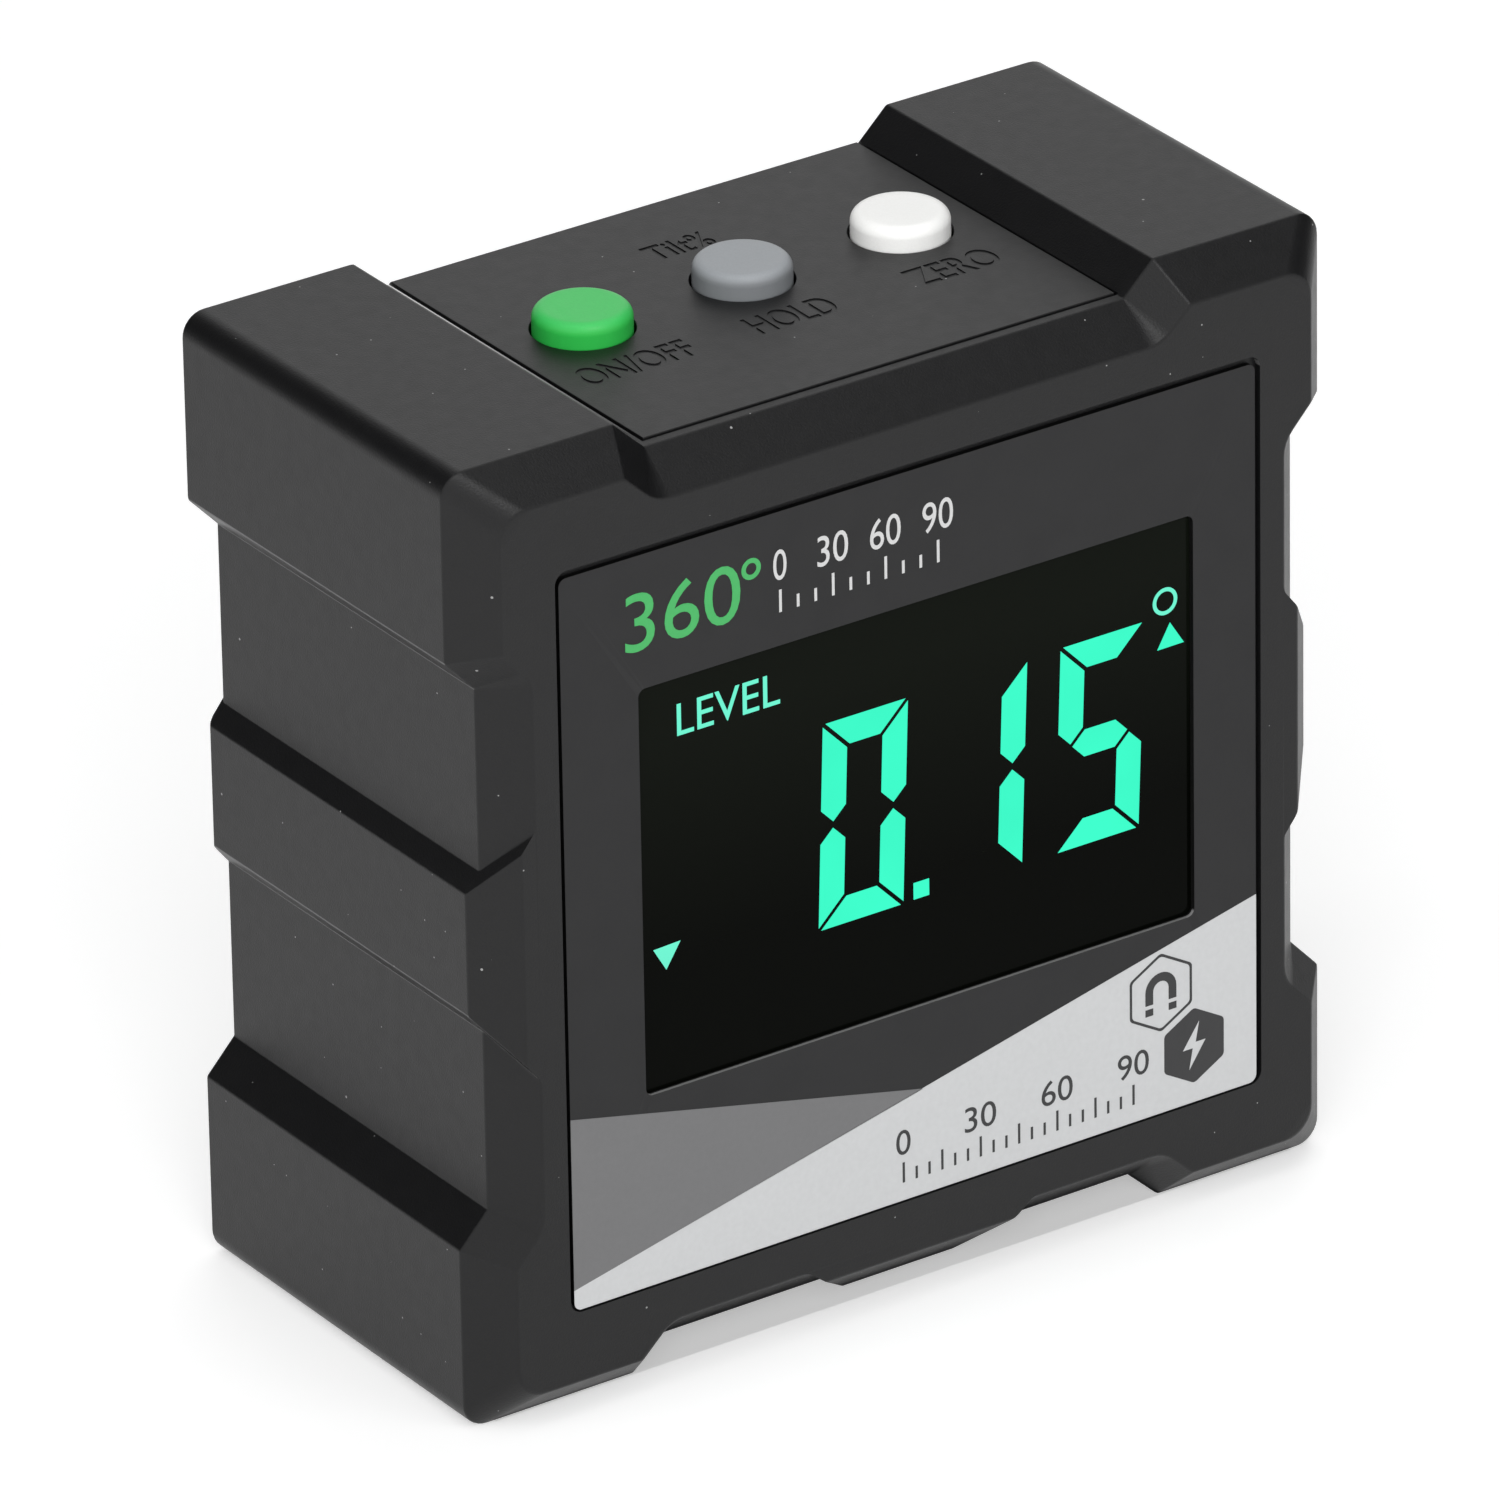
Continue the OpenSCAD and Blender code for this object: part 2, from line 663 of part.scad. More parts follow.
module back_cover()
  color([0.14, 0.14, 0.15])
    difference() {
      union() {
        slab(cover_w, cover_h, cover_r, y_cover, y_cover_back, 0, cavity_z);
        for (z = [-1, 1])
          plate(cavity_w - 2 * boss_w - 2 * rib, rib, y_cover - rib, y_cover + rib / 2,
            0, cavity_z + z * cavity_h / 4);
      }
      at_cover_posts() cover_screw_hole();
      slot_slab(port_w, port_h, y_cover - over, y_back + over, button_x, port_z);
      slot_slab(port_w + 2 * plug_edge, port_h + 2 * plug_edge,
        y_cover_back - plug_t, y_back + over, button_x, port_z);
    }

module back_seal()
  color([0.1, 0.1, 0.1])
    difference() {
      slab(seat_w - 2 * seal_gap, seat_h - 2 * seal_gap, seat_r - seal_gap, y_ledge, y_cover, 0, cavity_z);
      plate(cavity_w + 2 * seal_gap, cavity_h + 2 * seal_gap, y_ledge - over, y_cover + over, 0, cavity_z);
    }

// Screws along -Z under their heads, with a cross cut in each head
module cross_cut(head_d, head_h)
  for (a = [0, 90])
    rotate(a) translate([-head_d * cross_len / 2, -head_d * cross_w / 2, -head_h * cross_deep])
      cube([head_d * cross_len, head_d * cross_w, head_h * cross_deep + over]);

module flat_screw()
  difference() {
    union() {
      translate([0, 0, -cover_screw_len]) cylinder(d = cover_screw_d, h = cover_screw_len);
      translate([0, 0, -cover_head_h]) cylinder(d1 = cover_screw_d, d2 = cover_head_d, h = cover_head_h);
    }
    cross_cut(cover_head_d, cover_head_h);
  }

module pan_screw()
  difference() {
    union() {
      translate([0, 0, -board_screw_len]) cylinder(d = board_screw_d, h = board_screw_len + board_head_h / 2);
      cylinder(d = board_head_d, h = board_head_h);
    }
    translate([0, 0, board_head_h]) cross_cut(board_head_d, board_head_h);
  }

module cover_screws()
  color("dimgray")
    at_cover_posts() translate([0, y_cover_back, 0]) rotate([-90, 0, 0]) flat_screw();

module board_screws()
  color("silver")
    at_board_posts() translate([0, y_board_back, 0]) rotate([-90, 0, 0]) pan_screw();

module keypad_screws()
  color("silver")
    at_keypad_posts() translate([0, 0, z_keypad_under]) rotate([180, 0, 0]) pan_screw();

// Soft plug that closes the charging port
module port_plug()
  color([0.12, 0.12, 0.12]) {
    slot_slab(port_w + 2 * (plug_edge - plug_gap), port_h + 2 * (plug_edge - plug_gap),
      y_cover_back - plug_t, y_cover_back, button_x, port_z);
    slot_slab(port_w - 2 * plug_gap, port_h - 2 * plug_gap,
      y_socket_end + plug_gap, y_cover_back - plug_t / 2, button_x, port_z);
  }

// Panel with the button holes, its back edge bevelled like the housing's
module top_panel()
  color([0.2, 0.2, 0.21])
    difference() {
      translate([panel_x - panel_w / 2, 0, 0]) rotate([90, 0, 90]) linear_extrude(panel_w)
        polygon([
          [y_face + panel_front, z_panel_under],
          [y_back, z_panel_under],
          [y_back, z_panel - back_bevel],
          [y_back - back_bevel, z_panel],
          [y_face + panel_front, z_panel]
        ]);
      at_buttons() rod_z(button_d + 2 * button_gap, z_panel_under - over, z_panel + over, 0, 0);
    }

// Round cap with a flange under the panel and a stem down to its switch
module button_body(i)
  translate([button_x + i * button_pitch, button_y, 0])
    rotate_extrude() {
      translate([0, z_stem]) square([stem_d / 2, z_panel_under - z_stem]);
      translate([0, z_panel_under - flange_t]) square([flange_d / 2, flange_t]);
      translate([0, z_panel_under - flange_t])
        square([button_d / 2, flange_t + panel_t + button_h - button_rim]);
      translate([0, z_panel_under - flange_t])
        square([button_d / 2 - button_rim, flange_t + panel_t + button_h]);
      intersection() {
        translate([button_d / 2 - button_rim, z_panel + button_h - button_rim]) circle(button_rim);
        translate([0, z_panel]) square([button_d, button_h]);
      }
    }
module button_power() color([0.25, 0.75, 0.4]) button_body(-1);
module button_hold() color([0.55, 0.57, 0.6]) button_body(0);
module button_zero() color([0.93, 0.93, 0.92]) button_body(1);

module plunger(i)
  color([0.15, 0.15, 0.15])
    rod_z(plunger_d, z_switch - plunger_in, z_stem, button_x + i * button_pitch, button_y);
module plunger_power() plunger(-1);
module plunger_hold() plunger(0);
module plunger_zero() plunger(1);

// Square switch cases with a round well for the plunger
module tact_switches()
  color([0.3, 0.3, 0.32])
    at_buttons()
      difference() {
        translate([-switch_w / 2, -switch_w / 2, z_keypad]) cube([switch_w, switch_w, switch_h]);
        rod_z(plunger_d + 2 * plunger_gap, z_switch - plunger_in - travel - flange_room, z_switch + over, 0, 0);
      }

module keypad_board()
  color([0.1, 0.4, 0.25])
    difference() {
      translate([button_x - keypad_w / 2, y_keypad, z_keypad_under])
        cube([keypad_w, y_keypad_back - y_keypad, keypad_t]);
      at_keypad_posts()
        rod_z(board_screw_d + 2 * through_gap, z_keypad_under - over, z_keypad + over, 0, 0);
      at_pins() rod_z(pin_d + 2 * through_gap, z_keypad_under - over, z_keypad + over, 0, 0);
    }

// Header on the main board, its pins up through the keypad board
module link_header()
  color([0.15, 0.15, 0.15]) {
    translate([button_x - header_len / 2, y_board_back, header_low])
      cube([header_len, header_side, header_side]);
    at_pins() rod_z(pin_d, header_low + header_side / 2, z_keypad + pin_out, 0, 0);
  }

// Shell with round ends, closed at its inner end, with a tongue inside
module charge_socket()
  color("silver") {
    difference() {
      slot_slab(socket_w, socket_h, y_socket_end - socket_len, y_socket_end, button_x, port_z);
      slot_slab(socket_w - 2 * socket_wall, socket_h - 2 * socket_wall,
        y_socket_end - socket_len + socket_end, y_socket_end + over, button_x, port_z);
    }
    plate(socket_w - socket_h, tongue_t, y_socket_end - socket_len + socket_end / 2,
      y_socket_end - socket_wall, button_x, port_z);
  }

// Printed plate with the display's cut-out
module face_label()
  color([0.3, 0.31, 0.32])
    difference() {
      slab(label_w, label_h, label_r, y_label, y_pocket, 0, label_z);
      slab(window_w, window_h, window_r, y_face - over, y_pocket + over, window_x, window_z);
    }

module display_window()
  color([0.05, 0.07, 0.07])
    slab(pane_w, pane_h, window_r, y_pocket, y_pane_back, window_x, window_z);

// Two sheets: the back one is longer at its foot, where its contacts are
module lcd_glass()
  color([0.1, 0.25, 0.2]) {
    plate(glass_w, guide_h, y_wall, y_wall + glass_t, window_x, guide_z);
    plate(glass_w, glass_h, y_wall + glass_t, y_glass_back, window_x, window_z);
  }

module light_guide()
  color([0.9, 0.95, 0.92])
    plate(glass_w, guide_h, y_glass_back, y_board, window_x, guide_z);

module backlight_leds()
  color([0.95, 0.95, 0.8])
    for (i = [-0.5, 0.5])
      plate(led_w, led_h, y_board - led_t, y_board,
        window_x + i * led_pitch, glass_low + glass_h + strip_gap + led_h / 2);

module zebra_strip()
  color([0.35, 0.35, 0.4])
    plate(window_w, strip_h, y_glass_back, y_board, window_x, glass_low + strip_h / 2);

module main_board()
  color([0.1, 0.4, 0.25])
    difference() {
      plate(board_w, board_h, y_board, y_board_back, 0, cavity_z);
      at_board_posts() rod_y(board_screw_d + 2 * through_gap, y_board - over, y_board_back + over, 0, 0);
    }

module tilt_sensor()
  color([0.12, 0.12, 0.13])
    plate(sensor_w, sensor_w, y_board_back, y_board_back + chip_t, 0, cell_z - chip_rise / 2);

module controller_chip()
  color([0.12, 0.12, 0.13])
    plate(chip_w, chip_w, y_board_back, y_board_back + chip_t, 0, cell_z + chip_rise / 2);

// Pouch cell with round long edges
module battery_cell()
  color([0.75, 0.77, 0.8])
    translate([0, y_cell + cell_t / 2, cell_z - cell_h / 2]) linear_extrude(cell_h)
      rounded(cell_w, cell_t, cell_r);

// Strips that rise from the cell and bend forward to the board
module battery_tabs()
  color("silver")
    for (i = [-0.5, 0.5]) {
      plate(tab_w, tab_up, y_cell + cell_t / 2 - tab_t, y_cell + cell_t / 2,
        i * tab_pitch, cell_z + cell_h / 2 + tab_up / 2);
      plate(tab_w, tab_t, y_board_back, y_cell + cell_t / 2,
        i * tab_pitch, cell_z + cell_h / 2 + tab_up - tab_t / 2);
    }

module battery_tape()
  color([0.2, 0.2, 0.2])
    for (x = [-1, 1])
      plate(tape_w, cell_h, y_board_back, y_cell, x * (cell_w / 2 - cell_r - tape_w / 2), cell_z);

module magnets_left() color("silver") on_left() magnets(body_h / 2, body_w / 2);
module magnets_right() color("silver") on_right() magnets(body_h / 2, body_w / 2);
module magnets_top() color("silver") on_top() magnets(body_w / 2, body_h / 2);
module magnets_base() color("silver") on_base() magnets(body_w / 2, body_h / 2);

housing();
back_cover();
back_seal();
cover_screws();
port_plug();
top_panel();
button_power();
button_hold();
button_zero();
plunger_power();
plunger_hold();
plunger_zero();
tact_switches();
keypad_board();
keypad_screws();
link_header();
charge_socket();
face_label();
display_window();
lcd_glass();
light_guide();
backlight_leds();
zebra_strip();
main_board();
board_screws();
tilt_sensor();
controller_chip();
battery_cell();
battery_tabs();
battery_tape();
magnets_left();
magnets_right();
magnets_top();
magnets_base();
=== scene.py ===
import json
import math

import bmesh
import bpy
from mathutils import Matrix, Vector


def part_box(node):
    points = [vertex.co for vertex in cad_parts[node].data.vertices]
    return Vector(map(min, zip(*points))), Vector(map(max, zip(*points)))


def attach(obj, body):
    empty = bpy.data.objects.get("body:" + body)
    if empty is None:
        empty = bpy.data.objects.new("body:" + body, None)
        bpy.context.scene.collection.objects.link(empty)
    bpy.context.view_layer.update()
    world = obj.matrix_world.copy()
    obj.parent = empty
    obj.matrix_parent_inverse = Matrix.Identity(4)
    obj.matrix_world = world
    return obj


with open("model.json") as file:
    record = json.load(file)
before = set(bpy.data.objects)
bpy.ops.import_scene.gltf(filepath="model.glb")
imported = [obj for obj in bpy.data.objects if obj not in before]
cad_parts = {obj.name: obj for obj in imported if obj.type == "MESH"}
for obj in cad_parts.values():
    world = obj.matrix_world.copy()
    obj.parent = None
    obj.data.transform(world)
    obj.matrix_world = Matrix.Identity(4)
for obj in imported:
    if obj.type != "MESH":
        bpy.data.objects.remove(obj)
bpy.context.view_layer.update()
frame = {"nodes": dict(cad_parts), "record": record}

MM = 0.001
BODY = "gauge_body"

# Camera at the photograph's angle: degrees, and mm in the part's frame
VIEW_AZIMUTH = -34.048
VIEW_ELEVATION = 26.544
VIEW_ROLL = -0.977
VIEW_TARGET = (-1.495, 0.0, 29.921)
VIEW_DISTANCE = 966.96
LENS = 404.5
SENSOR_WIDTH = 36.0

# Stage: the level of the white surround, the floor, and a soft lamp behind the camera, in m and W
LIGHT_LEVEL = 1.05
FLOOR_SIZE = 6.0
FLOOR_ALBEDO = 0.8
FLOOR_LIFT = 0.42
FILL_POWER = 4.0
FILL_DISTANCE = 1.0
FILL_SIZE = 0.5

# Small lamp over the front, that only shows as a gleam in the hollows and corners of the bevel
GLEAM_DIRECTION = (0.0, -0.57, 0.82)
GLEAM_DISTANCE = 0.8
GLEAM_SIZE = 0.1
GLEAM_POWER = 1.3

# Black flags that darken some reflections: (direction from the part, distance, size) in m
FLAGS = (
    ((-0.44, 0.74, 0.50), 0.5, 0.65),
    ((0.97, -0.08, 0.15), 0.6, 0.85),
    ((0.57, -0.33, 0.75), 0.6, 0.3),
)

# Black sheet under the part, a painted shade in place of the shadow there, that keeps the white floor
# out of its lowest reflections; and the floor below it; in mm
UNDER_SHEET_WIDTH = 56.0
UNDER_SHEET_DEPTH = 24.4
UNDER_SHEET_Z = -0.01
FLOOR_Z = -0.02

# Planes that the print, the display and the words lie on, in mm
LABEL_LOW, LABEL_HIGH = (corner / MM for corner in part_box("face_label"))
PANEL_LOW, PANEL_HIGH = (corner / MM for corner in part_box("top_panel"))
Y_LABEL = LABEL_LOW.y
Y_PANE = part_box("display_window")[0].y / MM
Z_PANEL = PANEL_HIGH.z
INK = 0.015

# Printed fields of the face, as (x, z) in mm
LIGHT_FIELD_LEFT_Z = 8.07
LIGHT_FIELD_RIGHT_Z = 18.93
MID_FIELD_TOP_Z = 19.0
MID_FIELD_TIP = (0.33, 13.53)
FIELD_CORNER = 0.5
FIELD_CORNER_STEPS = 6

# Mark of a whole turn over the display, in mm: the word as (text, left, right, low, high), and the degree
# as (middle, radius, stroke)
TURN_WORD = ("360", -19.5, -11.7, 46.93, 50.55)
TURN_DEGREE = ((-10.95, 49.85), 0.66, 0.3)

# Plain scales, in mm: places and heights of the ticks, and heights and widths of the numbers, which are
# wider with two digits than with one
SCALE_NUMBERS = ("0", "30", "60", "90")
LONG_TICK_EVERY = 3
TOP_SCALE = {
    "left": -9.0, "step": 1.2, "steps_per_number": 3, "tick_width": 0.18,
    "low": 46.6, "short": 47.4, "long": 48.0,
    "number_low": 48.6, "number_high": 50.5, "number_widths": (0.9, 2.1),
}
PLATE_SCALE = {
    "left": -1.1, "step": 0.9, "steps_per_number": 6, "tick_width": 0.16,
    "low": 7.9, "short": 8.7, "long": 9.2,
    "number_low": 9.7, "number_high": 11.3, "number_widths": (1.0, 2.2),
}

# Signs printed on the light field: their middles, and sizes and heights from there, in mm
SIGN_CORNER = 0.35
SIGN_CORNER_STEPS = 4
MAGNET_SIGN = (17.08, 14.6)
MAGNET_FRAME_R = 2.55
MAGNET_FRAME_LINE = 0.19
MAGNET_OUTER_R = 1.1
MAGNET_INNER_R = 0.55
MAGNET_ARCH_Z = 0.2
MAGNET_LEG_Z = -0.6
POLE_HIGH_Z = -0.85
POLE_LOW_Z = -1.3
ARCH_STEPS = 16
CHARGE_SIGN = (19.42, 10.45)
CHARGE_FIELD_R = 2.45
BOLT = ((0.35, 1.5), (-0.8, -0.15), (-0.1, -0.15), (-0.35, -1.5), (0.8, 0.2), (0.1, 0.2))

# Lit display: seven-segment digits from their lower left corners, in mm
DIGIT_W = 5.85
DIGIT_H = 12.95
DIGIT_Z = 25.56
DIGIT_STROKE = 1.7
DIGIT_GAP = 0.25
DIGIT_MIDDLE_GAP = 0.4
DIGIT_SLANT = 0.038
DIGITS = ((-6.5, "abcdef"), (1.77, "bc"), (9.96, "acdfg"))
SEGMENT_T = 0.02

# Lit signs, in mm: the point as (left, right, low, high), the arrows as corners, the degree as
# (middle, radius, stroke), and the word as (text, left, right, low, high)
POINT = (0.07, 1.15, 25.6, 26.65)
UP_ARROW = [(18.1, 37.95), (17.2, 36.41), (19.07, 36.43)]
DOWN_ARROW = [(-17.8, 27.78), (-16.94, 26.31), (-15.95, 27.86)]
DEGREE = ((17.76, 39.39), 0.86, 0.24)
LEVEL_WORD = ("LEVEL", -15.9, -8.9, 40.7, 42.7)

# Words moulded into the top panel: (text, left, right, front, back) in mm
PANEL_WORDS = (
    ("ON/OFF", -14.5, -7.0, -4.05, -1.7),
    ("HOLD", -2.9, 2.7, -4.05, -1.7),
    ("ZERO", 8.0, 13.9, -4.15, -1.8),
    ("Tilt%", -2.15, 2.1, 7.6, 9.6),
)
WORD_DEPTH = 0.07
WORD_WEIGHT = 0.014
LETTER_STEPS = 5

# Painted highlight on the lip of the case beside the panel's left seam: its width, how far below the panel's
# top it reaches, and where it has faded towards the front, in mm
LIP_GLINT_WIDTH = 0.25
LIP_GLINT_DROP = 0.27
LIP_GLINT_FADED_Y = -11.0

# Painted highlight along the rounded lower edges of the blocks and pads: the Z and Y parts of their normals,
# and the lowest place in mm
EDGE_HIGHLIGHT_NORMAL_Z = (-0.55, -0.1)
EDGE_HIGHLIGHT_NORMAL_Y = (-0.3, 0.3)
EDGE_HIGHLIGHT_LOW = 3.0

# Z part of the normal, at most on an upright face and at least on a level one: the buttons' upright sides get
# painted shade
UPRIGHT_NORMAL_Z = 0.3
LEVEL_NORMAL_Z = 0.8

# Y part of the normal that the face plate's cut edges stay below
CUT_NORMAL_Y = 0.5

# Window of the face plate: how far its edges lie within the plate's own, at least, the depth of its lit
# sill, in mm, and the Z parts of the normal between which the sill's light sets in
WINDOW_INSET = 1.0
SILL_DEPTH = 0.2
SILL_NORMAL_Z = (0.2, 0.5)

# The pane is darkest up to the first of these heights, and lightest from the second, in mm
PANE_FADE = (27.0, 41.0)

# Dust as (distance between specks, their radius) in mm
DUST_SPECKS = ((1.7, 0.05), (3.8, 0.08))

# Rounding of edges that the solids leave sharp, by node, in mm
EDGE_ROUNDING = {"face_label": 0.08, "back_cover": 0.3, "top_panel": 0.06, "port_plug": 0.2}
ROUNDING_STEPS = 3

# Edges that turn by more than these degrees are rounded, and what is left of them stays sharp
ROUND_OVER = 40
SPLIT_OVER = 30

# How far large faces rule the shading of the edges between them, from 1 to 100, with 50 as even
FACE_WEIGHT = 100

# Points of a solid, or of a letter, that are nearer than this are one, in m
SAME_POINT = 1e-6
SAME_LETTER_POINT = 1e-7


def srgb(red, green, blue):
    """A colour of 0 to 255 as the linear colour that shaders take."""
    def linear(level):
        level /= 255
        return level / 12.92 if level <= 0.04045 else ((level + 0.055) / 1.055) ** 2.4
    return (linear(red), linear(green), linear(blue), 1.0)


def scaled(color, factor):
    return tuple(min(1.0, c * factor) for c in color[:3]) + (1.0,)


def grey(level):
    return (level, level, level, 1.0)


# Shader nodes


def add(tree, kind, inputs=None, **settings):
    """A new node. inputs gives each socket a value, or the socket that feeds it."""
    node = tree.nodes.new(kind)
    for key, value in settings.items():
        setattr(node, key, value)
    for key, value in (inputs or {}).items():
        if isinstance(value, bpy.types.NodeSocket):
            tree.links.new(value, node.inputs[key])
        else:
            node.inputs[key].default_value = value
    return node


def part_coords(tree):
    return add(tree, "ShaderNodeTexCoord").outputs["Object"]


def surface_normal(tree):
    return add(tree, "ShaderNodeNewGeometry").outputs["Normal"]


def split(tree, vector):
    return add(tree, "ShaderNodeSeparateXYZ", {"Vector": vector}).outputs


def noise(tree, size, detail=2.0):
    """Noise from 0 to 1 with features of about size mm."""
    inputs = {"Vector": part_coords(tree), "Scale": 1 / (size * MM), "Detail": detail}
    return add(tree, "ShaderNodeTexNoise", inputs).outputs["Fac"]


def spread(tree, value, low, high, start=0.3, end=0.7):
    """The value's range from start to end, drawn out from low to high."""
    inputs = {"Value": value, "From Min": start, "From Max": end, "To Min": low, "To Max": high}
    return add(tree, "ShaderNodeMapRange", inputs).outputs["Result"]


def blend_colors(tree, factor, low, high):
    node = add(tree, "ShaderNodeMix", data_type="RGBA")
    for socket, value in zip((node.inputs[0], node.inputs[6], node.inputs[7]), (factor, low, high)):
        if isinstance(value, bpy.types.NodeSocket):
            tree.links.new(value, socket)
        else:
            socket.default_value = value
    return node.outputs[2]


def math_node(tree, operation, first, second):
    return add(tree, "ShaderNodeMath", {0: first, 1: second}, operation=operation).outputs[0]


def over(tree, value, limit):
    return math_node(tree, "GREATER_THAN", value, limit)


def under(tree, value, limit):
    return math_node(tree, "LESS_THAN", value, limit)


def every(tree, *masks):
    """The product of masks: 1 where all of them are 1."""
    product = masks[0]
    for mask in masks[1:]:
        product = math_node(tree, "MULTIPLY", product, mask)
    return product


def between(tree, value, limits):
    return every(tree, over(tree, value, limits[0]), under(tree, value, limits[1]))


# Marks on a finish, of dust and of painted light and shade: 1 where the mark is, and 0 elsewhere


def dust(tree):
    def specks(spacing, radius):
        inputs = {"Vector": part_coords(tree), "Scale": 1 / (spacing * MM)}
        distance = add(tree, "ShaderNodeTexVoronoi", inputs).outputs["Distance"]
        return under(tree, distance, radius / spacing)

    fine, coarse = (specks(*size) for size in DUST_SPECKS)
    return math_node(tree, "MAXIMUM", fine, coarse)


# Painted shade: where this is 1, the buttons' sides are coloured darker than their tops
def painted_shade_sides(tree):
    up = split(tree, surface_normal(tree))["Z"]
    return spread(tree, up, 1, 0, UPRIGHT_NORMAL_Z, LEVEL_NORMAL_Z)


# Painted shade: the face plate's cut edges, coloured near black for the shade in the groove round the plate
def painted_shade_cut_edges(tree):
    depth = split(tree, surface_normal(tree))["Y"]
    return under(tree, math_node(tree, "ABSOLUTE", depth, 0.0), CUT_NORMAL_Y)


def painted_shade_window_edges(tree):
    """Painted shade on the cut edges round the plate's window, less dark than on the plate's other edges."""
    place = split(tree, part_coords(tree))
    left, right = LABEL_LOW.x + WINDOW_INSET, LABEL_HIGH.x - WINDOW_INSET
    low, high = LABEL_LOW.z + WINDOW_INSET, LABEL_HIGH.z - WINDOW_INSET
    across = between(tree, place["X"], (left * MM, right * MM))
    up = between(tree, place["Z"], (low * MM, high * MM))
    return every(tree, painted_shade_cut_edges(tree), across, up)


def lit_sill(tree):
    """The front of the window's lower edge, which catches the light."""
    place = split(tree, part_coords(tree))
    up = spread(tree, split(tree, surface_normal(tree))["Z"], 0, 1, *SILL_NORMAL_Z)
    low = under(tree, place["Z"], (LABEL_LOW.z + LABEL_HIGH.z) / 2 * MM)
    return every(tree, up, low, under(tree, place["Y"], (LABEL_LOW.y + SILL_DEPTH) * MM))


def painted_lip_glint(tree):
    """Painted highlight on the lip beside the panel's left seam, brightest at the back."""
    x, y, z = split(tree, part_coords(tree))
    strip = between(tree, x, ((PANEL_LOW.x - LIP_GLINT_WIDTH) * MM, PANEL_LOW.x * MM))
    top = over(tree, z, (Z_PANEL - LIP_GLINT_DROP) * MM)
    return every(tree, strip, top, spread(tree, y, 0, 1, LIP_GLINT_FADED_Y * MM, PANEL_HIGH.y * MM))


def painted_edge_highlight(tree):
    """Painted highlight on the rounded lower edges of the blocks and pads at the sides."""
    normal = split(tree, surface_normal(tree))
    low_edge = between(tree, normal["Z"], EDGE_HIGHLIGHT_NORMAL_Z)
    side = between(tree, normal["Y"], EDGE_HIGHLIGHT_NORMAL_Y)
    height = split(tree, part_coords(tree))["Z"]
    return every(tree, low_edge, side, over(tree, height, EDGE_HIGHLIGHT_LOW * MM))


# Finishes


def finish(name, roughness, specular=0.5, metallic=0.0):
    """A new material: (material, its tree, its Principled shader)."""
    material = bpy.data.materials.new(name)
    material.use_nodes = True
    tree = material.node_tree
    shader = tree.nodes["Principled BSDF"]
    shader.inputs["Roughness"].default_value = roughness
    shader.inputs["Specular IOR Level"].default_value = specular
    shader.inputs["Metallic"].default_value = metallic
    return material, tree, shader


def feed(tree, shader, **sockets):
    for name, value in sockets.items():
        tree.links.new(value, shader.inputs[name.replace("_", " ")])


def grain(tree, shader, size, depth):
    """A moulded or etched surface, with grains of about size mm that are depth mm deep."""
    inputs = {"Height": noise(tree, size, detail=3.0), "Distance": depth * MM, "Strength": 1.0}
    feed(tree, shader, Normal=add(tree, "ShaderNodeBump", inputs).outputs["Normal"])


def vary_roughness(tree, shader, middle, amount, size, detail=2.0):
    """Patches of about size mm that are rougher or smoother than the middle by up to amount."""
    patches = spread(tree, noise(tree, size, detail), middle - amount, middle + amount)
    feed(tree, shader, Roughness=patches)


def marked(tree, tone, marks):
    """The tone with marks on it, as pairs of (mask, colour)."""
    for mask, color in marks:
        tone = blend_colors(tree, mask(tree), tone, color)
    return tone


def moulded(name, color, roughness, specular=0.5, grain_size=0.12, grain_depth=0.014, mottle=0.15, marks=()):
    """Moulded plastic: fine grain, a share of mottling, and marks."""
    material, tree, shader = finish(name, roughness, specular)
    spots = spread(tree, noise(tree, grain_size, detail=4.0), 0, 1)
    tone = blend_colors(tree, spots, scaled(color, 1 - mottle), scaled(color, 1 + mottle))
    feed(tree, shader, Base_Color=marked(tree, tone, marks))
    vary_roughness(tree, shader, roughness, amount=0.02, size=1.0)
    grain(tree, shader, grain_size, grain_depth)
    return material


def button_plastic(name, color, mottle, marks=()):
    return moulded(name, color, 0.45, specular=0.4, grain_depth=0.006, mottle=mottle, marks=marks)


def metal(name, color, roughness, scratch=0.05):
    """Plated or brushed metal with scratches of about scratch mm."""
    material, tree, shader = finish(name, roughness, metallic=1.0)
    feed(tree, shader, Base_Color=blend_colors(tree, noise(tree, size=0.6), scaled(color, 0.9), color))
    vary_roughness(tree, shader, roughness, amount=0.08, size=scratch, detail=4.0)
    grain(tree, shader, scratch, depth=0.002)
    return material


def printed(name, color, specular=0.3, marks=()):
    """Ink on the face plate: an even coat with a fine satin texture."""
    roughness = 0.45
    material, tree, shader = finish(name, roughness, specular)
    tone = blend_colors(tree, noise(tree, size=0.35), scaled(color, 0.95), scaled(color, 1.05))
    feed(tree, shader, Base_Color=marked(tree, tone, marks))
    vary_roughness(tree, shader, roughness, amount=0.05, size=2.5)
    grain(tree, shader, size=0.25, depth=0.004)
    return material


def lit(name, color):
    """A lit segment, a little uneven as a backlight is."""
    material, tree, shader = finish(name, roughness=0.3, specular=0.1)
    shader.inputs["Base Color"].default_value = grey(0.0)
    shader.inputs["Emission Strength"].default_value = 1.0
    patches = spread(tree, noise(tree, size=6.0), 0, 1)
    feed(tree, shader, Emission_Color=blend_colors(tree, patches, scaled(color, 0.93), color))
    return material


